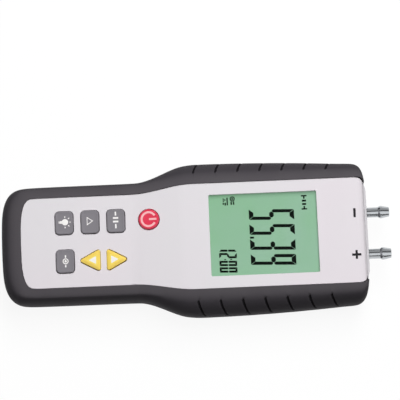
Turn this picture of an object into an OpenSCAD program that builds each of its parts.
// A hand-held digital manometer: a light moulded housing in a rubber boot, with
// two hose barbs at the top end, a backlit display and seven keys on its handle.
// X runs to the right of the face, Y towards the hose barbs and Z out of the face.
// The back rests on z = 0, and the origin lies below the middle of the whole length.

/* [Body] */
// Length of the waist, where the head draws in to the handle
waist_length = 27.3; // [24:0.5:30]
// Distance from the shoulders of the head up to the display window
shoulder_rise = 7.8; // [7:0.1:9]
// Width of the boot beyond the panel on each side of the head
head_side = 11.4; // [10.4:0.2:13]
// Width of the boot beyond the panel on each side of the handle
handle_side = 6.7; // [6.2:0.1:9]
// How far the handle's face lies below the head's face
face_drop = 2.2; // [1.8:0.1:2.4]
// Height of the parting line, which is also the widest line and the barbs' axis
part_z = 16.5; // [15.5:0.25:17.5]
// Wall thickness of the two plastic shells
shell_wall = 2.2; // [1.8:0.1:2.4]

/* [Boot] */
// Rubber thickness over the shells
skin_t = 2.6; // [2.2:0.1:3]
// How much narrower each side of the head is at the horns than at the shoulders
head_taper = 2.5; // [1:0.25:3.5]
// Width of the pale band of rubber that frames the panel
rim_band = 4.4; // [3.6:0.2:5]
// How far the rim stands above the panel
rim_proud = 0.6; // [0.3:0.1:0.8]
// How much the band falls away from the panel
rim_crown = 1.1; // [0.7:0.1:1.4]
// How far the back's flat rubber edge is drawn in from the widest line
rear_draw = 4.5; // [3.6:0.1:4.8]
// Thickness of the rubber lips that hold the shells, front and back
lip_t = 2.2; // [1.8:0.1:2.4]
// How far the plastic back lies inside the rubber edge that it rests on
rear_recess = 0.4; // [0.2:0.1:0.6]
// Number of grip grooves on each side of the head
groove_count = 7; // [3:1:7]
// Distance from one grip groove to the next
groove_pitch = 10.28; // [9:0.1:10.4]
// Height of the lowest grip groove above the shoulders
groove_start = 2.4; // [2.2:0.1:3]
// Width of a grip groove at its mouth
groove_w = 1.2; // [1:0.1:2]
// Depth of a grip groove
groove_depth = 1.2; // [0.5:0.1:1.4]
// How far a groove leans towards the tail at the rim, and to the top at the back
groove_shift = 1.2; // [0:0.1:1.3]

/* [Panel] */
// Width of the panel on each side of the display window
window_side = 5.55; // [5.2:0.05:6.5]
// Width of the panel on the handle beyond the keys on each side
key_side = 6.75; // [6.4:0.05:8]
// Distance from the tail of the boot to the panel's lower end
tail_margin = 8.8; // [8:0.2:9.6]
// How far the shells' top end lies behind the horns
end_setback = 1.1; // [0.8:0.1:1.4]
// Radius that rolls the face over into the top end
end_roll_r = 2.6; // [1:0.1:3]
// Thickness of the handle's face over the keypad
key_wall = 2; // [1.6:0.1:2.2]

/* [Display] */
// Width of the display window
window_w = 38.1; // [34:0.1:42]
// Height of the display window
window_h = 50.1; // [44:0.1:58]
// Distance from the shells' top end to the window
window_drop = 22.2; // [21.8:0.1:23]
// Thickness of the plastic rim that the window's lens sits behind
window_lip = 1.2; // [1:0.1:1.4]
// Thickness of the lens's flange
lens_flange_t = 1; // [0.8:0.1:1]
// Width of the lens's flange on each side of the window
lens_flange_w = 2.2; // [1.6:0.1:2.3]
// How far the lens lies below the face
lens_recess = 0.1; // [0.05:0.05:0.3]
// Thickness of the foam gasket under the lens
gasket_t = 0.4; // [0.3:0.05:0.5]
// Thickness of each of the display's two glass plates
glass_t = 1.1; // [0.7:0.1:1.1]
// How far the display glass reaches past the window on each side
glass_side = 1.85; // [1.4:0.05:2]
// How far the front glass plate reaches past the window at each end
glass_end = 3.45; // [3.2:0.05:3.8]
// How far the front plate reaches past the rear plate at each end
glass_ledge = 2.6; // [2.2:0.1:2.8]
// Wall thickness of the display's frame
frame_wall = 1; // [0.6:0.1:1]

/* [Keys] */
// Distance of the two key columns from the middle
key_column_x = 9; // [8:0.1:9.4]
// Distance from the panel's lower end to the lowest row of keys
key_row_rise = 21.4; // [20:0.1:22]
// Distance between the key rows
key_pitch = 12; // [11.4:0.1:12.2]
// Distance from the top row of keys up to the power key
power_rise = 15.4; // [14:0.1:16]
// How far up the waist the middle of the power key lies
power_waist = 7.1; // [5:0.1:8]
// Width of a rectangular key
key_w = 10.7; // [9:0.1:11.4]
// Height of a rectangular key
key_h = 8.3; // [7:0.1:8.8]
// Corner radius of a rectangular key
key_corner = 1.8; // [1.2:0.1:2.4]
// Diameter of the round power key
power_d = 9.6; // [8:0.1:10.4]
// Width of an arrow key at its base
arrow_w = 10.6; // [9:0.1:11]
// Height of an arrow key from its base to its point
arrow_h = 9.9; // [8:0.1:10.2]
// Corner radius of an arrow key
arrow_corner = 0.9; // [0.8:0.1:1.4]
// How far a key stands above the face
key_proud = 1; // [0.9:0.1:1.4]
// Travel of a key
key_travel = 0.7; // [0.4:0.1:0.8]
// Gap between a key and the edge of its hole
key_gap = 0.3; // [0.2:0.05:0.4]
// Space between the circuit board and the handle's face, for the keypad
key_space = 2; // [1.9:0.1:2.2]

/* [Ports] */
// How far the two hose barbs stand out past the boot's horns
barb_reach = 11; // [9.5:0.5:16]
// Distance between the two hose barbs
port_spacing = 19.6; // [18:0.2:21]
// Diameter of a barb's shank
barb_shank_d = 4.7; // [4:0.1:5]
// Diameter of a barb at its crest
barb_crest_d = 5.9; // [5.4:0.1:6.2]
// Diameter of a barb at its tip
barb_tip_d = 4.4; // [3:0.1:4.6]
// Bore through a barb
barb_bore_d = 2; // [1.6:0.1:2.2]
// Distance from the tip back to the crest
barb_nose = 3.5; // [3:0.1:5]
// Length of the cylindrical land at the crest
barb_land = 0.8; // [0.6:0.1:1.2]
// Width of the port block's plateau
port_plateau_w = 37.7; // [34:0.1:39]
// Width of the port block's foot
port_foot_w = 45.7; // [44:0.1:46]
// Depth of the port block's foot, from back to front
port_foot_t = 20; // [19:0.1:21]
// Height of the port block above the shells' top end
port_rise = 1.1; // [0.8:0.1:1.4]

/* [Board] */
// Thickness of the circuit board
board_t = 1.6; // [1:0.1:1.6]
// Width of the pressure sensor
sensor_w = 20; // [18:0.5:24]
// Length of the pressure sensor
sensor_l = 16; // [12:0.5:18]
// Distance between the pressure sensor's two ports
sensor_port_spacing = 10; // [9:0.2:11]
// Diameter of the buzzer
buzzer_d = 12; // [9:0.5:14]
// Height of the buzzer
buzzer_h = 5.5; // [4:0.1:7]

/* [Battery] */
// Width of the nine volt battery
battery_w = 26.5; // [26:0.1:26.5]
// Length of the battery without its studs
battery_l = 46.4; // [45:0.1:46.5]
// Thickness of the battery
battery_t = 17.5; // [16.5:0.1:17.5]
// Height of the battery's studs
stud_h = 2.1; // [1.6:0.1:2.2]
// Distance between the battery's studs
stud_spacing = 12.7; // [12:0.1:13]
// Distance from the tail of the boot to the battery's compartment
battery_rise = 24.1; // [23.8:0.1:26]
// Thickness of the battery door
door_t = 1.8; // [1.4:0.1:2]
// How far the door covers past the compartment at the sides
door_side = 2.8; // [2:0.1:3]
// How far the door covers past the compartment at the ends
door_end = 6.2; // [6:0.1:6.6]
// Thickness of the foam pad that steadies the battery
pad_t = 0.6; // [0.3:0.1:0.6]

/* [Fasteners] */
// Diameter of the screws that hold the two shells together
case_screw_d = 2.6; // [2:0.1:3]
// Diameter of the screws that hold the circuit board
board_screw_d = 2; // [1.6:0.1:2.2]
// Diameter of the captive screws in the battery door
door_screw_d = 2.4; // [2:0.1:2.6]
// Diameter of the tripod thread at its crests, as drilled for a quarter inch screw
tripod_bore_d = 5.1; // [4.8:0.1:5.2]
// Length of the tripod bush
tripod_bush_l = 9; // [7:0.5:11]

/* [Hidden] */
$fn = 48;

// Extra length of every cut past the surface that it opens
over = 1;
// Gap between parts that are assembled without play
fit_gap = 0.15;
// Gap between parts of which one is taken out or moves
free_gap = 0.3;

// The widths of the panel and of the boot
panel_w = window_w + 2 * window_side;
panel_handle_w = 2 * (key_column_x + key_w / 2 + key_side);
head_w = panel_w + 2 * head_side;
handle_w = panel_handle_w + 2 * handle_side;

// The ends and stations along Y
key_stack = key_row_rise + 2 * key_pitch + power_rise;
handle_length = tail_margin + key_stack - power_waist;
head_length = shoulder_rise + window_h + window_drop + end_setback;
boot_length = handle_length + waist_length + head_length;
total_length = boot_length + barb_reach;
tail_y = -total_length / 2;
tip_y = total_length / 2;
boot_top_y = tail_y + boot_length;
end_y = boot_top_y - end_setback;
panel_tail_y = tail_y + tail_margin;
waist_high_y = boot_top_y - head_length;
waist_low_y = waist_high_y - waist_length;
tail_corner_l = 17;
top_corner_l = 14;
tail_start_y = tail_y + tail_corner_l;
top_start_y = boot_top_y - top_corner_l;
waist_steps = 11;
ramp_steps = 2;
ramp_high_y = waist_high_y - waist_length * ramp_steps / waist_steps;
handle_steps = 3;
corner_steps = 8;

// The heights along Z, which stack up from the battery door to the rim
pad_gap = 0.1;
roof_gap = 0.2;
cell_roof = 0.8;
door_low_z = rear_recess;
door_high_z = door_low_z + door_t;
battery_low_z = door_high_z + pad_t + pad_gap;
battery_high_z = battery_low_z + battery_t;
cell_high_z = battery_high_z + roof_gap;
board_low_z = cell_high_z + cell_roof + roof_gap;
board_top_z = board_low_z + board_t;
key_ceiling_z = board_top_z + key_space;
handle_face_z = key_ceiling_z + key_wall;
head_face_z = handle_face_z + face_drop;
head_depth = head_face_z + rim_proud;
lens_ledge_z = head_face_z - window_lip;
lens_low_z = lens_ledge_z - lens_flange_t;
head_ceiling_z = lens_low_z;
glass_top_z = lens_low_z - gasket_t;
glass_mid_z = glass_top_z - glass_t;
glass_low_z = glass_mid_z - glass_t;
floor_z = rear_recess + shell_wall;

function mix(a, b, t) = a + (b - a) * t;
function ease(t) = let (u = max(0, min(1, t))) u * u * (3 - 2 * u);
function ramp_share(y) = max(0, min(1, (ramp_high_y - y) / (ramp_high_y - waist_low_y)));
function face_z(y) = head_face_z - face_drop * ramp_share(y);
function edge_z(y) = face_z(y) + rim_proud - rim_crown;
function level_z(h, y) = h <= 1 ? h * part_z : mix(part_z, edge_z(y), h - 1);

// An outline seen from the front is [half width of the head, half width of the
// handle, lower end, upper end, roundness of the lower and of the upper corners,
// taper of the head]. Its sides are an eased S, and its ends are superellipses.
wide_roundness = [3.8, 6];
panel_roundness = [3.2, 14];
rim_roundness = [3.4, 8];
rim_taper = 0.4;
wide_line = [
    head_w / 2, handle_w / 2, tail_y, boot_top_y,
    wide_roundness[0], wide_roundness[1], head_taper
];
panel_line = [
    panel_w / 2, panel_handle_w / 2, panel_tail_y, end_y,
    panel_roundness[0], panel_roundness[1], 0
];
rim_line = [
    panel_line[0] + rim_band, panel_line[1] + rim_band,
    panel_tail_y - rim_band, boot_top_y - rim_proud,
    rim_roundness[0], rim_roundness[1], rim_taper
];
rear_line = shrunk(wide_line, rear_draw);

function shrunk(o, d) = [o[0] - d, o[1] - d, o[2] + d, o[3] - d, o[4], o[5], o[6]];
function room(side, low, high) = [
    panel_line[0] - side, panel_line[1] - side, panel_line[2] + low,
    panel_line[3] - high, panel_line[4], panel_line[5], 0
];

function side_x(o, y) =
    let (
        u = max(0, (y - waist_high_y) / (top_start_y - waist_high_y)),
        s = ease((y - waist_low_y) / waist_length)
    )
    mix(o[1], o[0] - o[6] * u * u, s);
function tail_point(o, a) = [
    side_x(o, tail_start_y) * pow(cos(a), 2 / o[4]),
    mix(tail_start_y, o[2], pow(sin(a), 2 / o[4]))
];
function top_point(o, a) = [
    side_x(o, top_start_y) * pow(cos(a), 2 / o[5]),
    mix(top_start_y, o[3], pow(sin(a), 2 / o[5]))
];

// A station along a side is [y, kind]: 0 is plain, 1 is a groove's edge and 2 is
// a groove's floor. Edges and floors lean with the height on the side.
handle_stations = [
    for (i = [0 : handle_steps - 1]) [mix(tail_start_y, waist_low_y, i / handle_steps), 0]
];
waist_stations = [
    for (i = [0 : waist_steps]) [waist_low_y + waist_length * i / waist_steps, 0]
];
plain_head_steps = 6;
plain_head_stations = [
    for (i = [1 : plain_head_steps])
        [mix(waist_high_y, top_start_y, i / plain_head_steps), 0]
];
groove_shares = [-0.5, -0.2, 0.2, 0.5];
groove_kinds = [1, 2, 2, 1];
function groove_y(i) = waist_high_y + groove_start + groove_pitch * i;
groove_stations = [
    for (i = [0 : groove_count - 1])
        each concat(
            [for (k = [0 : 3]) [groove_y(i) + groove_w * groove_shares[k], groove_kinds[k]]],
            i < groove_count - 1 ? [[groove_y(i) + groove_pitch / 2, 0]] : [[top_start_y, 0]]
        )
];
plain_stations = concat(handle_stations, waist_stations, plain_head_stations);
grip_stations = concat(handle_stations, waist_stations, groove_stations);

function side_point(o, station, lean, depth) =
    let (y = station[0] - (station[1] > 0 ? lean : 0))
    [side_x(o, y) - (station[1] > 1 ? depth : 0), y];
function half_line(o, stations, lean, depth) = concat(
    [for (i = [0 : corner_steps - 1]) tail_point(o, 90 - 90 * i / corner_steps)],
    [for (s = stations) side_point(o, s, lean, depth)],
    [for (i = [1 : corner_steps]) top_point(o, 90 * i / corner_steps)]
);
function whole_line(half) = concat(
    half,
    [for (i = [len(half) - 2 : -1 : 1]) [-half[i][0], half[i][1]]]
);
function flat_line(o) = whole_line(half_line(o, plain_stations, 0, 0));

// A level of a moulded form is [outline, height, groove depth, lift]. A height up
// to 1 runs from the back to the widest line, and from 1 to 2 up to the rim's edge.
function ring(level, stations) = [
    for (p = whole_line(half_line(
        level[0], stations, groove_shift * (level[1] - 1), level[2]
    )))
        [p[0], p[1], level_z(level[1], p[1]) + level[3]]
];

// Skin over rings that are mirror images about X = 0, closed by strips at both ends
module moulded(rings) {
    n = len(rings[0]);
    half = n / 2;
    last = (len(rings) - 1) * n;
    sides = [
        for (k = [0 : len(rings) - 2], i = [0 : n - 1], t = [0, 1])
            let (a = k * n + i, b = k * n + (i + 1) % n)
            t == 0 ? [a, a + n, b + n] : [a, b + n, b]
    ];
    low = concat(
        [[0, 1, n - 1], [half - 1, half, half + 1]],
        [for (i = [1 : half - 2]) [i, i + 1, n - i - 1, n - i]]
    );
    high = [for (f = low) [for (i = [len(f) - 1 : -1 : 0]) last + f[i]]];
    polyhedron(points = [for (r = rings) each r], faces = concat(sides, low, high));
}

// Skin over rings round a convex outline
module capped(rings) {
    n = len(rings[0]);
    last = (len(rings) - 1) * n;
    sides = [
        for (k = [0 : len(rings) - 2], i = [0 : n - 1], t = [0, 1])
            let (a = k * n + i, b = k * n + (i + 1) % n)
            t == 0 ? [a, a + n, b + n] : [a, b + n, b]
    ];
    low = [for (i = [0 : n - 1]) i];
    high = [for (i = [n - 1 : -1 : 0]) last + i];
    polyhedron(points = [for (r = rings) each r], faces = concat(sides, [low, high]));
}

function unit(v) = v / norm(v);
// Outline of a convex polygon with round corners, drawn in by inset
function rounded(corners, r, inset) = [
    for (k = [0 : len(corners) - 1])
        let (
            n = len(corners),
            q = corners[k],
            p = corners[(k + n - 1) % n],
            s = corners[(k + 1) % n],
            u = unit(p - q),
            v = unit(s - q),
            half = acos(u * v) / 2,
            centre = q + unit(u + v) * r / sin(half),
            start = atan2(p[0] - q[0], q[1] - p[1]),
            sweep = 180 - 2 * half
        )
        for (i = [0 : round_steps])
            let (a = start + sweep * i / round_steps)
            centre + (r - inset) * [cos(a), sin(a)]
];
round_steps = 4;
function rectangle(w, h) = [
    [-w / 2, -h / 2], [w / 2, -h / 2], [w / 2, h / 2], [-w / 2, h / 2]
];

module block(low, high) {
    translate(low) cube(high - low);
}
module rod(place, z_low, z_high, r) {
    translate([place[0], place[1], z_low]) cylinder(h = z_high - z_low, r = r);
}
module plate(points, z_low, z_high) {
    translate([0, 0, z_low]) linear_extrude(height = z_high - z_low) polygon(points);
}
// A polygon of [y, z] points carried across the width
module across(points, w) {
    rotate([90, 0, 90]) linear_extrude(height = w, center = true) polygon(points);
}
// A turned shape whose axis runs along Y, from a polygon of [radius, y] points
module turned_y(points, x) {
    translate([x, 0, part_z]) rotate([-90, 0, 0]) rotate_extrude() polygon(points);
}

// Boot
rear_height_shares = [0, 0.03, 0.12, 0.33, 0.64];
rear_swell_shares = [0, 0.34, 0.6, 0.86, 0.97];
rim_height_shares = [0, 0.3, 0.6, 0.85, 1];
rim_draw_shares = [0, 0.07, 0.28, 0.6, 1];
rim_groove_shares = [0.2, 0.9, 1, 0.8, 0];
boot_levels = concat(
    [
        for (i = [0 : 4])
            [rear_shape(i, 0), rear_height_shares[i], 0, 0]
    ],
    [
        for (i = [0 : 4])
            [rim_shape(i, 0), 1 + rim_height_shares[i], groove_depth * rim_groove_shares[i], 0]
    ],
    [[panel_line, 2, 0, rim_crown]]
);
// The shells' outside under the boot, drawn in from the boot's own outside
shoulder_fall = lip_t + rim_proud - rim_crown;
function rear_shape(i, d) = shrunk(mix(rear_line, wide_line, rear_swell_shares[i]), d);
function rim_shape(i, d) = shrunk(mix(wide_line, rim_line, rim_draw_shares[i]), d);
function rear_levels(d, lift) = [
    [rear_shape(2, d), lip_t / part_z, 0, -lift],
    [rear_shape(3, d), rear_height_shares[3], 0, 0],
    [rear_shape(4, d), rear_height_shares[4], 0, 0],
    [shrunk(wide_line, d), 1, 0, 0]
];
function front_levels(d, lift) = [
    [shrunk(wide_line, d), 1, 0, 0],
    [rim_shape(1, d), 1 + rim_height_shares[1], 0, 0],
    [rim_shape(2, d), 1 + rim_height_shares[2], 0, 0],
    [rim_shape(3, d), 2, 0, lift - shoulder_fall]
];
module shell_skin(levels) {
    moulded([for (level = levels) ring(level, plain_stations)]);
}

// Display glass and its frame
window_top_y = end_y - window_drop;
window_mid_y = window_top_y - window_h / 2;
glass_w = window_w + 2 * glass_side;
glass_h = window_h + 2 * glass_end;
frame_out = fit_gap + frame_wall;
frame_high_y = window_mid_y + glass_h / 2 + frame_out;
frame_low_y = window_mid_y - glass_h / 2 - frame_out;

// Places of fasteners and bosses, clear of the display's frame and the battery
case_boss_r = 3.2;
case_post_r = 3.6;
case_side_inset = 4.1;
case_tail_inset = 7.6;
case_tail_rise = 5;
case_frame_gap = 0.5;
case_side_x = panel_w / 2 - case_side_inset;
case_tail_x = panel_handle_w / 2 - case_tail_inset;
case_high_y = frame_high_y + case_boss_r + case_frame_gap;
case_low_y = frame_low_y - case_boss_r - free_gap;
case_places = [
    for (x = [-1, 1]) each [
        [x * case_side_x, case_high_y],
        [x * case_side_x, case_low_y],
        [x * case_tail_x, panel_tail_y + case_tail_rise]
    ]
];
case_head_r = 2.4;
case_head_t = 1.6;
case_head_z = 6;
case_thread_l = 6;
case_sink_r = case_head_r + free_gap;

key_row_y = [for (i = [0 : 2]) panel_tail_y + key_row_rise + key_pitch * i];
power_y = key_row_y[2] + power_rise;

cell_gap = 0.4;
cell_wall = 1.4;
cell_w = battery_w + 2 * cell_gap;
board_boss_r = 1.9;
board_screw_head_t = 1.2;
board_screw_head_r = 1.8;
board_screw_gap = 0.05;
board_screw_drop = 0.6;
cell_tail_y = tail_y + battery_rise;
board_screw_x = cell_w / 2 + cell_wall + board_screw_head_r + board_screw_gap;
board_places = [
    [0, case_high_y - board_screw_drop],
    [0, case_low_y],
    [-board_screw_x, key_row_y[1] + key_pitch / 2],
    [board_screw_x, key_row_y[1] + key_pitch / 2],
    [0, cell_tail_y - cell_wall - board_screw_head_r - board_screw_gap]
];
board_end_gap = 10.9;
board_tail_gap = 9.4;
board_high_y = end_y - board_end_gap;
board_tail_y = panel_tail_y + board_tail_gap;
board_pocket_gap = 0.2;
belly_drop = 0.6;
belly_top_z = board_low_z - belly_drop;

// Port block and its notch through the shells' top end
end_wall = 3.6;
seat_y = end_y - end_wall;
port_body_w = 40;
port_body_t = 15;
port_low_z = part_z - port_body_t / 2;
port_high_z = part_z + port_body_t / 2;
port_slope_t = 1.6;

// Battery compartment, open at the back
stud_gap = 0.6;
cell_l = cell_gap + battery_l + stud_h + stud_gap;
cell_top_y = cell_tail_y + cell_l;
cell_mid_y = (cell_tail_y + cell_top_y) / 2;
door_w = cell_w + 2 * door_side;
door_l = cell_l + 2 * door_end;
door_corner = 3;
door_ledge_t = 1.8;
door_screw_inset = 2.4;
door_screw_places = [
    for (s = [-1, 1]) [0, cell_mid_y + s * (door_l / 2 - door_screw_inset)]
];
insert_r = 2;
insert_boss_r = 3;
insert_skin = 1;
insert_l = 5;
insert_low_z = door_high_z + insert_skin;
insert_high_z = insert_low_z + insert_l;
tripod_r = 4.4;
tripod_boss_r = 6.4;
tripod_rise = 27.4;
tripod_y = cell_top_y + tripod_rise;

// Key outlines about their own middles
arrow_line = [[-arrow_w / 2, 0], [arrow_w / 2, 0], [0, arrow_h]];
arrow_low = -arrow_h / 3;
flange_w = 0.8;
function key_line(grow) = rounded(rectangle(key_w, key_h), key_corner, -grow);
function up_line(grow) = [
    for (p = rounded(arrow_line, arrow_corner, -grow)) [p[0], p[1] + arrow_low]
];
function down_line(grow) = [for (p = up_line(grow)) -p];
up_drop = 1.2;
down_rise = 0.8;
up_y = key_row_y[2] - up_drop;
down_y = key_row_y[1] + down_rise;
ramp_angle = atan(face_drop / (ramp_high_y - waist_low_y));
power_face_z = face_z(power_y);

module at_key(x, y) {
    translate([x, y, 0]) children();
}

// The panel's solid, with the ramp between head and handle and the rolled top end
end_profile = concat(
    [
        [tail_y, part_z], [tail_y, handle_face_z],
        [waist_low_y, handle_face_z], [ramp_high_y, head_face_z]
    ],
    [
        for (a = [0 : 15 : 90])
            [end_y - end_roll_r + end_roll_r * sin(a), head_face_z - end_roll_r + end_roll_r * cos(a)]
    ],
    [[end_y, part_z]]
);

module key_holes() {
    for (row = [0 : 2])
        at_key(-key_column_x, key_row_y[row])
            plate(key_line(key_gap), board_top_z, head_depth);
    at_key(key_column_x, key_row_y[0]) plate(key_line(key_gap), board_top_z, head_depth);
    at_key(key_column_x, up_y) plate(up_line(key_gap), board_top_z, head_depth);
    at_key(key_column_x, down_y) plate(down_line(key_gap), board_top_z, head_depth);
    rod([-key_column_x, power_y], board_top_z, head_depth, power_d / 2 + key_gap);
}

module window_cut() {
    lens_w = window_w + 2 * lens_flange_w;
    lens_h = window_h + 2 * lens_flange_w;
    translate([0, window_mid_y, 0]) {
        plate(rounded(rectangle(window_w, window_h), window_corner, 0),
            head_ceiling_z - over, head_face_z + over);
        plate(rectangle(lens_w + 2 * fit_gap, lens_h + 2 * fit_gap),
            head_ceiling_z - over, lens_ledge_z);
    }
}
window_corner = 0.6;

module port_notch() {
    gap = fit_gap;
    block(
        [-port_body_w / 2 - gap, seat_y - over, port_low_z - gap],
        [port_body_w / 2 + gap, end_y + over, port_high_z + gap]
    );
}

// Room for the clamp plate behind the end wall
module port_pocket() {
    gap = fit_gap;
    block(
        [-clamp_w / 2 - gap, seat_y - clamp_t - over, part_z - clamp_h / 2 - gap],
        [clamp_w / 2 + gap, seat_y, part_z + clamp_h / 2 + gap]
    );
}

module front_shell() color("gainsboro") {
    difference() {
        union() {
            shell_skin(front_levels(skin_t, 0));
            intersection() {
                plate(flat_line(panel_line), part_z, head_depth);
                across(end_profile, head_w);
            }
        }
        plate(flat_line(shrunk(wide_line, skin_t + shell_wall + belly_draft)),
            part_z - over, belly_top_z);
        plate(flat_line(room(board_side, pocket_tail_gap, end_wall)),
            belly_top_z - over, board_top_z + board_pocket_gap);
        plate(flat_line(room(shell_wall, shell_wall, end_wall)),
            board_top_z, key_ceiling_z);
        intersection() {
            plate(flat_line(room(shell_wall, shell_wall, end_wall)),
                board_top_z, head_ceiling_z);
            block([-head_w / 2, waist_high_y, board_top_z], [head_w / 2, boot_top_y, head_depth]);
        }
        window_cut();
        key_holes();
        port_notch();
        port_pocket();
    }
    front_bosses();
}
belly_draft = 0.6;
board_side = 0.4;
pocket_tail_gap = 1.9;

module front_bosses() {
    for (p = case_places)
        difference() {
            rod(p, part_z, face_z(p[1]) - key_wall, case_boss_r);
            rod(p, part_z - over, case_thread_top_z, case_screw_d / 2 - fit_gap);
        }
    for (p = board_places)
        difference() {
            rod(p, board_top_z, face_z(p[1]) - key_wall, board_boss_r);
            rod(p, board_top_z - over, board_thread_top_z, board_screw_d / 2 - fit_gap);
        }
}
case_thread_top_z = part_z + case_thread_l;
board_thread_l = 1.5;
board_thread_top_z = board_top_z + board_thread_l;

module rear_shell() color("dimgray") {
    difference() {
        union() {
            shell_skin(rear_levels(skin_t, 0));
            plate(flat_line(panel_line), rear_recess, part_z);
        }
        difference() {
            union() {
                plate(flat_line(shrunk(wide_line, rear_draw + skin_t)), floor_z, rear_step_z);
                plate(flat_line(shrunk(wide_line, skin_t + shell_wall + belly_draft)),
                    rear_step_z - over, part_z + over);
            }
            rear_bosses();
        }
        port_notch();
        port_pocket();
        rear_cuts();
    }
    cell_walls();
}
rear_step_z = 8;

module rear_bosses() {
    for (p = case_places)
        rod(p, rear_recess, part_z, case_post_r);
    for (p = door_screw_places)
        rod(p, rear_recess, insert_high_z, insert_boss_r);
    rod([0, tripod_y], rear_recess, rear_recess + tripod_bush_l + shell_wall, tripod_boss_r);
    // A thicker floor round the compartment carries the door's ledge
    translate([0, cell_mid_y, 0])
        plate(rounded(rectangle(door_w + 2 * cell_wall, door_l + 2 * cell_wall),
            door_corner, 0), rear_recess, door_high_z + door_ledge_t);
    block(
        [-cell_w / 2 - cell_wall, cell_tail_y - cell_wall, rear_recess],
        [cell_w / 2 + cell_wall, cell_top_y + cell_wall, part_z]
    );
    port_shelf();
}
// A ledge under the port block's body
module port_shelf() {
    block([-port_body_w / 2, seat_y - over, floor_z], [port_body_w / 2, seat_y, port_low_z]);
}

module rear_cuts() {
    for (p = case_places) {
        rod(p, rear_recess - over, part_z + over, case_screw_d / 2 + fit_gap);
        rod(p, rear_recess - over, case_head_z + case_head_t, case_sink_r);
    }
    for (p = door_screw_places)
        rod(p, rear_recess - over, insert_high_z + over, insert_r);
    rod([0, tripod_y], rear_recess - over, rear_recess + tripod_bush_l, tripod_r);
    translate([0, cell_mid_y, 0])
        plate(rounded(rectangle(door_w + 2 * fit_gap, door_l + 2 * fit_gap), door_corner, 0),
            rear_recess - over, door_high_z);
    block(
        [-cell_w / 2, cell_tail_y, rear_recess - over],
        [cell_w / 2, cell_top_y, part_z + over]
    );
}

// The compartment's walls above the parting line, and its roof
module cell_walls() {
    difference() {
        block(
            [-cell_w / 2 - cell_wall, cell_tail_y - cell_wall, part_z],
            [cell_w / 2 + cell_wall, cell_top_y + cell_wall, cell_high_z + cell_roof]
        );
        block(
            [-cell_w / 2, cell_tail_y, part_z - over],
            [cell_w / 2, cell_top_y, cell_high_z]
        );
        // Slots for the two contact blades
        for (s = [-1, 1])
            block(
                [s * stud_spacing / 2 - contact_w / 2 - fit_gap, contact_low_y - fit_gap,
                    cell_high_z - over],
                [s * stud_spacing / 2 + contact_w / 2 + fit_gap, cell_top_y, board_low_z + over]
            );
    }
}
contact_w = 5;
contact_t = 0.5;
contact_low_y = cell_top_y - contact_t;

module grip_boot() color("#3b3a3d") {
    difference() {
        moulded([for (level = boot_levels) ring(level, grip_stations)]);
        shell_skin(concat(
            rear_levels(skin_t - fit_gap, fit_gap),
            [for (i = [1 : 3]) front_levels(skin_t - fit_gap, fit_gap)[i]]
        ));
        plate(flat_line(shrunk(panel_line, -fit_gap)), -over, head_depth + over);
        block(
            [-port_foot_w / 2 - free_gap, seat_y, -over],
            [port_foot_w / 2 + free_gap, boot_top_y + over, head_depth + over]
        );
    }
}

// Places of the hose barbs
port_x = port_spacing / 2;
barb_shank_r = barb_shank_d / 2;
flange_r = 3.9;
flange_t = 1.6;
sink_gap = 0.35;
sink_r = flange_r + sink_gap;
sink_t = 3;
seal_r = 0.65;
seal_ring_r = 3.25;
seal_gap = 0.05;
nipple_r = 1.7;
nipple_l = 9;
clamp_t = 2.2;
clamp_side = 2;
clamp_lap = 1.3;
clamp_screw_inset = 2.2;
clamp_w = port_body_w + 2 * clamp_side;
clamp_h = port_body_t + 2 * clamp_lap;
clamp_screw_x = port_body_w / 2 - clamp_screw_inset;
clamp_screw_r = 1;
clamp_head_r = 1.9;
clamp_head_t = 1.3;
clamp_screw_l = 3.2;
nipple_low_y = seat_y - nipple_l;

module port_block() color("gainsboro") {
    foot_x = port_foot_w / 2;
    top_x = port_plateau_w / 2;
    top_y = end_y + port_rise;
    foot_low = part_z - port_foot_t / 2;
    foot_high = part_z + port_foot_t / 2;
    difference() {
        union() {
            block(
                [-port_body_w / 2, seat_y, port_low_z],
                [port_body_w / 2, end_y, port_high_z]
            );
            intersection() {
                plate([[-foot_x, end_y], [foot_x, end_y], [top_x, top_y], [-top_x, top_y]],
                    foot_low, foot_high);
                across([
                    [end_y, foot_low], [top_y, foot_low + port_slope_t],
                    [top_y, foot_high - port_slope_t], [end_y, foot_high]
                ], head_w);
            }
        }
        for (s = [-1, 1])
            turned_y([
                [0, seat_y - over], [sink_r, seat_y - over], [sink_r, seat_y + sink_t],
                [barb_shank_r + fit_gap, seat_y + sink_t],
                [barb_shank_r + fit_gap, top_y + over], [0, top_y + over]
            ], s * port_x);
        for (x = [-clamp_screw_x, 0, clamp_screw_x])
            turned_y([
                [0, seat_y - over], [clamp_screw_r, seat_y - over],
                [clamp_screw_r, seat_y + clamp_screw_l + free_gap],
                [0, seat_y + clamp_screw_l + free_gap]
            ], x);
    }
}

module port_clamp() color("slategray") {
    difference() {
        block(
            [-clamp_w / 2, seat_y - clamp_t, part_z - clamp_h / 2],
            [clamp_w / 2, seat_y, part_z + clamp_h / 2]
        );
        for (s = [-1, 1])
            turned_y([
                [0, seat_y - clamp_t - over], [nipple_r + free_gap, seat_y - clamp_t - over],
                [nipple_r + free_gap, seat_y + over], [0, seat_y + over]
            ], s * port_x);
        for (x = [-clamp_screw_x, 0, clamp_screw_x])
            turned_y([
                [0, seat_y - clamp_t - over], [clamp_screw_r + fit_gap, seat_y - clamp_t - over],
                [clamp_screw_r + fit_gap, seat_y + over], [0, seat_y + over]
            ], x);
    }
}

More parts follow.
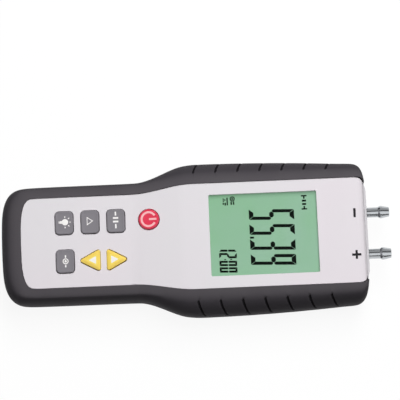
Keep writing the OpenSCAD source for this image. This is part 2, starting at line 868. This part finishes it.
module clamp_screws() color("silver") {
    back_y = seat_y - clamp_t;
    for (x = [-clamp_screw_x, 0, clamp_screw_x])
        turned_y([
            [0, back_y - clamp_head_t], [clamp_head_r, back_y - clamp_head_t],
            [clamp_head_r, back_y], [clamp_screw_r, back_y],
            [clamp_screw_r, seat_y + clamp_screw_l], [0, seat_y + clamp_screw_l]
        ], x);
}

barb_back_share = 1.6;
barb_edge = 0.3;
module hose_barb(x) color("lightslategray") {
    crest_r = barb_crest_d / 2;
    tip_r = barb_tip_d / 2;
    bore_r = barb_bore_d / 2;
    nose_y = tip_y - barb_nose;
    land_y = nose_y - barb_land;
    back_y = land_y - (crest_r - barb_shank_r) * barb_back_share;
    turned_y([
        [bore_r, nipple_low_y], [nipple_r - barb_edge, nipple_low_y],
        [nipple_r, nipple_low_y + 2 * barb_edge], [nipple_r, seat_y],
        [flange_r, seat_y], [flange_r, seat_y + flange_t],
        [barb_shank_r, seat_y + flange_t], [barb_shank_r, back_y],
        [crest_r, land_y], [crest_r, nose_y], [tip_r, tip_y], [bore_r, tip_y]
    ], x);
}
module minus_barb() hose_barb(-port_x);
module plus_barb() hose_barb(port_x);

module port_seal(x) color("#1c1c1c") {
    seal_y = seat_y + flange_t + seal_r + seal_gap;
    translate([x, seal_y, part_z]) rotate([-90, 0, 0])
        rotate_extrude() translate([seal_ring_r, 0]) circle(r = seal_r);
}
module minus_seal() port_seal(-port_x);
module plus_seal() port_seal(port_x);

// Silicone tubes that swing from the barbs to the sensor's closer ports
tube_gap = 0.05;
tube_wall = 1.2;
tube_curve_r = 12;
tube_shift = port_x - sensor_port_spacing / 2;
tube_angle = acos(1 - tube_shift / (2 * tube_curve_r));
tube_curve_l = 2 * tube_curve_r * sin(tube_angle);
tube_grip_l = 5.4;
tube_stub = 0.5;
tube_curve_y = nipple_low_y - tube_stub;
tube_end_y = tube_curve_y - tube_curve_l;
sensor_port_l = 6;
sensor_port_gap = 0.6;
sensor_face_y = tube_end_y - tube_grip_l - sensor_port_gap;
sensor_low_y = sensor_face_y - sensor_l;
sensor_drop = 4.6;
sensor_cap_inset = 1.2;

module tube_section() {
    difference() {
        circle(r = nipple_r + tube_gap + tube_wall);
        circle(r = nipple_r + tube_gap);
    }
}
module tube_straight(x, y, length) {
    translate([x, y, part_z]) rotate([-90, 0, 0])
        linear_extrude(height = length) tube_section();
}
module hose_tube() {
    centre = [port_x - tube_curve_r, tube_curve_y, part_z];
    swing = 2 * tube_curve_r * [cos(tube_angle), -sin(tube_angle), 0];
    tube_straight(port_x, tube_curve_y, tube_grip_l);
    translate(centre) rotate([0, 0, -tube_angle])
        rotate_extrude(angle = tube_angle) translate([tube_curve_r, 0]) tube_section();
    translate(centre + swing) rotate([0, 0, 180 - tube_angle])
        rotate_extrude(angle = tube_angle) translate([tube_curve_r, 0]) tube_section();
    tube_straight(sensor_port_spacing / 2, tube_end_y - tube_grip_l, tube_grip_l);
}
module minus_tube() color("#d8d4c8") mirror([1, 0, 0]) hose_tube();
module plus_tube() color("#d8d4c8") hose_tube();

module pressure_sensor() color("#2f3136") {
    low_z = part_z - sensor_drop;
    block(
        [-sensor_w / 2, sensor_low_y, low_z],
        [sensor_w / 2, sensor_face_y, board_low_z]
    );
    block(
        [-sensor_w / 2 + sensor_cap_inset, sensor_low_y + sensor_cap_inset, low_z - sensor_cap_inset],
        [sensor_w / 2 - sensor_cap_inset, sensor_face_y - sensor_cap_inset, low_z]
    );
    for (s = [-1, 1])
        turned_y([
            [barb_bore_d / 2, sensor_face_y], [nipple_r, sensor_face_y],
            [nipple_r, sensor_face_y + sensor_port_l],
            [barb_bore_d / 2, sensor_face_y + sensor_port_l]
        ], s * sensor_port_spacing / 2);
}

// Display, from the lens down to the board
module display_lens() color("lightcyan", 0.4) translate([0, window_mid_y, 0]) {
    plate(rounded(rectangle(window_w - 2 * fit_gap, window_h - 2 * fit_gap), window_corner, 0),
        lens_low_z, head_face_z - lens_recess);
    plate(rectangle(window_w + 2 * lens_flange_w, window_h + 2 * lens_flange_w),
        lens_low_z, lens_ledge_z);
}
gasket_in = 0.5;
module lens_gasket() color("#202020") {
    difference() {
        translate([0, window_mid_y, 0])
            plate(rectangle(window_w + 2 * lens_flange_w, window_h + 2 * lens_flange_w),
                glass_top_z, lens_low_z);
        translate([0, window_mid_y, 0])
            plate(rectangle(window_w + 2 * gasket_in, window_h + 2 * gasket_in),
                glass_top_z - over, lens_low_z + over);
    }
}
module lcd_glass() color("darkseagreen") translate([0, window_mid_y, 0]) {
    plate(rectangle(glass_w, glass_h), glass_mid_z, glass_top_z);
    plate(rectangle(glass_w, glass_h - 2 * glass_ledge), glass_low_z, glass_mid_z);
}
module lcd_frame() color("whitesmoke") translate([0, window_mid_y, 0]) {
    difference() {
        plate(rectangle(glass_w + 2 * frame_out, glass_h + 2 * frame_out),
            board_top_z, glass_top_z);
        plate(rectangle(glass_w + 2 * fit_gap, glass_h + 2 * fit_gap),
            board_top_z - over, glass_top_z + over);
    }
}
module lcd_backlight() color("#9be3a0") translate([0, window_mid_y, 0])
    plate(rectangle(glass_w - 2 * fit_gap, glass_h - 2 * glass_ledge - 2 * fit_gap),
        board_top_z, glass_low_z);
strip_t = 1.8;
strip_inset = 0.2;
strip_end = 1;
module contact_strips() color("hotpink") {
    strip_y = (glass_h - strip_t) / 2 - strip_inset;
    for (s = [-1, 1])
        translate([0, window_mid_y + s * strip_y, 0])
            plate(rectangle(glass_w - 2 * strip_end, strip_t), board_top_z, glass_mid_z);
}

// Circuit board and what it carries
module main_board() color("seagreen") {
    difference() {
        intersection() {
            plate(flat_line(room(board_side + free_gap, 0, 0)), board_low_z, board_top_z);
            block([-head_w / 2, board_tail_y, 0], [head_w / 2, board_high_y, head_depth]);
        }
        for (p = case_places)
            board_notch(p, case_boss_r + free_gap);
        for (p = board_places)
            rod(p, board_low_z - over, board_top_z + over, board_screw_d / 2 + fit_gap);
    }
}
// A notch round a boss, open towards the board's edge
module board_notch(p, r) {
    rod(p, board_low_z - over, board_top_z + over, r);
    translate([p[0] > 0 ? 0 : -head_w / 2, 0, 0])
        block(
            [p[0] > 0 ? p[0] : 0, p[1] - r, board_low_z - over],
            [p[0] > 0 ? head_w / 2 : p[0] + head_w / 2, p[1] + r, board_top_z + over]
        );
}
module board_screws() color("silver") for (p = board_places) {
    rod(p, board_low_z - board_screw_head_t, board_low_z, board_screw_head_r);
    rod(p, board_low_z, board_thread_top_z - fit_gap, board_screw_d / 2 - fit_gap);
}
chip_t = 1.5;
module chip(place, w, l) {
    block(
        [place[0] - w / 2, place[1] - l / 2, board_low_z - chip_t],
        [place[0] + w / 2, place[1] + l / 2, board_low_z]
    );
}
control_w = 12;
converter_w = 6.4;
memory_w = 5;
chip_gap = 1.2;
chip_row_y = sensor_low_y - converter_w - chip_gap;
module control_chips() color("#26282b") {
    chip([0, chip_row_y], control_w, control_w);
    chip([-control_w, chip_row_y], converter_w, 2 * converter_w);
    chip([control_w, chip_row_y], memory_w, memory_w);
}
part_w = 1.6;
part_l = 3.2;
part_t = 1;
part_pitch = 4.2;
part_column_share = 1.5;
module small_components() color("#b08a5a")
    for (s = [-1, 1], i = [0 : 5])
        translate([s * control_w * part_column_share, chip_row_y - control_w / 2 + part_pitch * i, 0])
            block(
                [-part_w / 2, -part_l / 2, board_low_z - part_t],
                [part_w / 2, part_l / 2, board_low_z]
            );
buzzer_x = 10;
buzzer_hole_d = 2;
module buzzer() color("#1e1e20")
    difference() {
        place = [buzzer_x, chip_row_y - control_w];
        rod(place, board_low_z - buzzer_h, board_low_z, buzzer_d / 2);
        rod(place, board_low_z - buzzer_h - over, board_low_z - buzzer_h + over, buzzer_hole_d / 2);
    }
crystal_w = 10;
crystal_l = 4;
crystal_t = 3.4;
module clock_crystal() color("silver")
    translate([-buzzer_x, chip_row_y - control_w, 0])
        block(
            [-crystal_w / 2, -crystal_l / 2, board_low_z - crystal_t],
            [crystal_w / 2, crystal_l / 2, board_low_z]
        );

// Keypad
pad_z = 0.05;
contact_pad_r = 2.6;
key_places = [
    [-key_column_x, power_y],
    [-key_column_x, key_row_y[2]], [-key_column_x, key_row_y[1]],
    [-key_column_x, key_row_y[0]], [key_column_x, key_row_y[0]],
    [key_column_x, up_y], [key_column_x, down_y]
];
module key_contacts() color("goldenrod") for (p = key_places)
    rod(p, board_top_z, board_top_z + pad_z, contact_pad_r);
mat_t = 1;
mat_gap = 0.25;
mat_side = 0.6;
key_low_z = board_top_z + key_travel + 2 * pad_z;
key_flange_t = 0.7;
key_flange_lift = 0.1;
module keypad_mat() color("#77757a") {
    difference() {
        intersection() {
            plate(flat_line(room(shell_wall + mat_side, 0, 0)), board_top_z, board_top_z + mat_t);
            block(
                [-head_w / 2, board_tail_y + mat_side, 0],
                [head_w / 2, case_low_y - case_boss_r - 3 * mat_side, head_depth]
            );
        }
        mat_holes(flange_w + mat_gap);
        for (p = board_places)
            rod(p, board_top_z - over, key_ceiling_z, board_boss_r + free_gap);
    }
}
module mat_holes(grow) {
    low = board_top_z - over;
    high = board_top_z + mat_t + over;
    for (row = [0 : 2])
        at_key(-key_column_x, key_row_y[row]) plate(key_line(grow), low, high);
    at_key(key_column_x, key_row_y[0]) plate(key_line(grow), low, high);
    at_key(key_column_x, up_y) plate(up_line(grow), low, high);
    at_key(key_column_x, down_y) plate(down_line(grow), low, high);
    rod([-key_column_x, power_y], low, high, power_d / 2 + grow);
}

// Levels of a moulded key as [how far it is drawn in, height]
crown_draw_shares = [0, 0.12, 0.4, 0.85];
crown_fall_shares = [0.5, 0.22, 0.06, 0];
top_z = handle_face_z + key_proud;
key_levels = concat(
    [
        [-flange_w, key_low_z], [-flange_w, key_low_z + key_flange_t],
        [0, key_low_z + key_flange_t + key_flange_lift]
    ],
    [
        for (i = [0 : 3])
            [key_proud * crown_draw_shares[i], top_z - key_proud * crown_fall_shares[i]]
    ]
);
function at_height(points, z) = [for (p = points) [p[0], p[1], z]];

module square_key(x, y) color("#868489") at_key(x, y)
    capped([for (v = key_levels) at_height(key_line(-v[0]), v[1])]);
module hold_key() square_key(-key_column_x, key_row_y[2]);
module difference_key() square_key(-key_column_x, key_row_y[1]);
module light_key() square_key(-key_column_x, key_row_y[0]);
module record_key() square_key(key_column_x, key_row_y[0]);
module up_key() color("#f0cc40") at_key(key_column_x, up_y)
    capped([for (v = key_levels) at_height(up_line(-v[0]), v[1])]);
module down_key() color("#f0cc40") at_key(key_column_x, down_y)
    capped([for (v = key_levels) at_height(down_line(-v[0]), v[1])]);

// The round key stands on the ramp, so its crown is tilted to lie along it
power_edge_r = 1;
module power_key() color("#e1324b") at_key(-key_column_x, power_y) {
    r = power_d / 2;
    crown_r = r + key_flange_lift;
    rod([0, 0], key_low_z, key_low_z + key_flange_t, r + flange_w);
    intersection() {
        rod([0, 0], key_low_z, head_depth, r);
        translate([0, 0, power_face_z]) rotate([ramp_angle, 0, 0])
            rotate_extrude() polygon(concat(
                [[0, -power_face_z], [crown_r, -power_face_z]],
                [
                    for (a = [0 : 15 : 90]) [
                        crown_r - power_edge_r + power_edge_r * cos(a),
                        key_proud - power_edge_r + power_edge_r * sin(a)
                    ]
                ],
                [[0, key_proud]]
            ));
    }
}

// Screws that join the shells, set deep in the back
module case_screws() color("silver") for (p = case_places)
    difference() {
        union() {
            rod(p, case_head_z, case_head_z + case_head_t, case_head_r);
            rod(p, case_head_z + case_head_t, case_thread_top_z - free_gap,
                case_screw_d / 2 - fit_gap);
        }
        rod(p, case_head_z - over, case_head_z + case_head_t / 2, case_head_r / 3);
    }

module tripod_bush() color("#b5a25a")
    difference() {
        rod([0, tripod_y], rear_recess, rear_recess + tripod_bush_l, tripod_r);
        rod([0, tripod_y], rear_recess - over, rear_recess + tripod_bush_l + over,
            tripod_bore_d / 2);
    }

// Battery, its contacts and its door
battery_low_y = cell_tail_y + cell_gap;
battery_high_y = battery_low_y + battery_l;
battery_corner = 2.4;
stud_z = (battery_low_z + battery_high_z) / 2;
module battery() color("#3d4a5c")
    translate([0, battery_high_y, stud_z]) rotate([90, 0, 0])
        linear_extrude(height = battery_l)
            polygon(rounded(rectangle(battery_w, battery_t), battery_corner, 0));
plus_stud_r = 2.9;
minus_stud_r = 4;
stud_base_r = 4.6;
module battery_studs() color("silver") {
    for (s = [-1, 1])
        translate([s * stud_spacing / 2, battery_high_y, stud_z]) rotate([-90, 0, 0]) {
            cylinder(h = stud_h / 3, r = stud_base_r);
            cylinder(h = stud_h, r = s > 0 ? plus_stud_r : minus_stud_r);
        }
}
module battery_contacts() color("goldenrod")
    for (s = [-1, 1])
        block(
            [s * stud_spacing / 2 - contact_w / 2, contact_low_y, stud_z - contact_w / 2],
            [s * stud_spacing / 2 + contact_w / 2, cell_top_y, board_low_z]
        );

door_sink_r = 2.4;
door_sink_t = 1;
module battery_door() color("dimgray")
    difference() {
        translate([0, cell_mid_y, 0])
            plate(rounded(rectangle(door_w, door_l), door_corner, 0), door_low_z, door_high_z);
        for (p = door_screw_places) {
            rod(p, door_low_z - over, door_high_z + over, door_screw_d / 2 + fit_gap);
            rod(p, door_low_z - over, door_low_z + door_sink_t, door_sink_r + fit_gap);
        }
        door_grip();
    }
grip_slots = 5;
grip_slot_w = 1;
grip_slot_t = 0.5;
grip_slot_l = 14;
module door_grip()
    for (i = [0 : grip_slots - 1])
        translate([0, cell_mid_y - door_l / 3 + 2 * grip_slot_w * i, 0])
            block(
                [-grip_slot_l / 2, -grip_slot_w / 2, door_low_z - over],
                [grip_slot_l / 2, grip_slot_w / 2, door_low_z + grip_slot_t]
            );
door_screw_inset_z = 0.1;
door_screw_low_z = door_low_z + door_screw_inset_z;
module door_screws() color("silver") for (p = door_screw_places)
    difference() {
        union() {
            rod(p, door_screw_low_z, door_low_z + door_sink_t, door_sink_r);
            rod(p, door_low_z + door_sink_t, insert_high_z - insert_skin, door_screw_d / 2);
        }
        translate([p[0], p[1], 0])
            block(
                [-door_sink_r, -door_screw_d / 8, door_low_z - over],
                [door_sink_r, door_screw_d / 8, door_screw_low_z + door_sink_t / 2]
            );
    }
module door_inserts() color("#b5a25a") for (p = door_screw_places)
    difference() {
        rod(p, insert_low_z, insert_high_z, insert_r);
        rod(p, insert_low_z - over, insert_high_z + over, door_screw_d / 2 + free_gap / 2);
    }
pad_share = 0.8;
module battery_pad() color("#2b2b2b") translate([0, cell_mid_y, 0])
    plate(rectangle(cell_w * pad_share, cell_l * pad_share), door_high_z, door_high_z + pad_t);

front_shell();
rear_shell();
grip_boot();
port_block();
port_clamp();
clamp_screws();
minus_barb();
plus_barb();
minus_seal();
plus_seal();
minus_tube();
plus_tube();
pressure_sensor();
display_lens();
lens_gasket();
lcd_glass();
lcd_frame();
lcd_backlight();
contact_strips();
main_board();
board_screws();
control_chips();
small_components();
buzzer();
clock_crystal();
key_contacts();
keypad_mat();
power_key();
hold_key();
difference_key();
light_key();
record_key();
up_key();
down_key();
case_screws();
tripod_bush();
battery();
battery_studs();
battery_contacts();
battery_door();
door_screws();
door_inserts();
battery_pad();
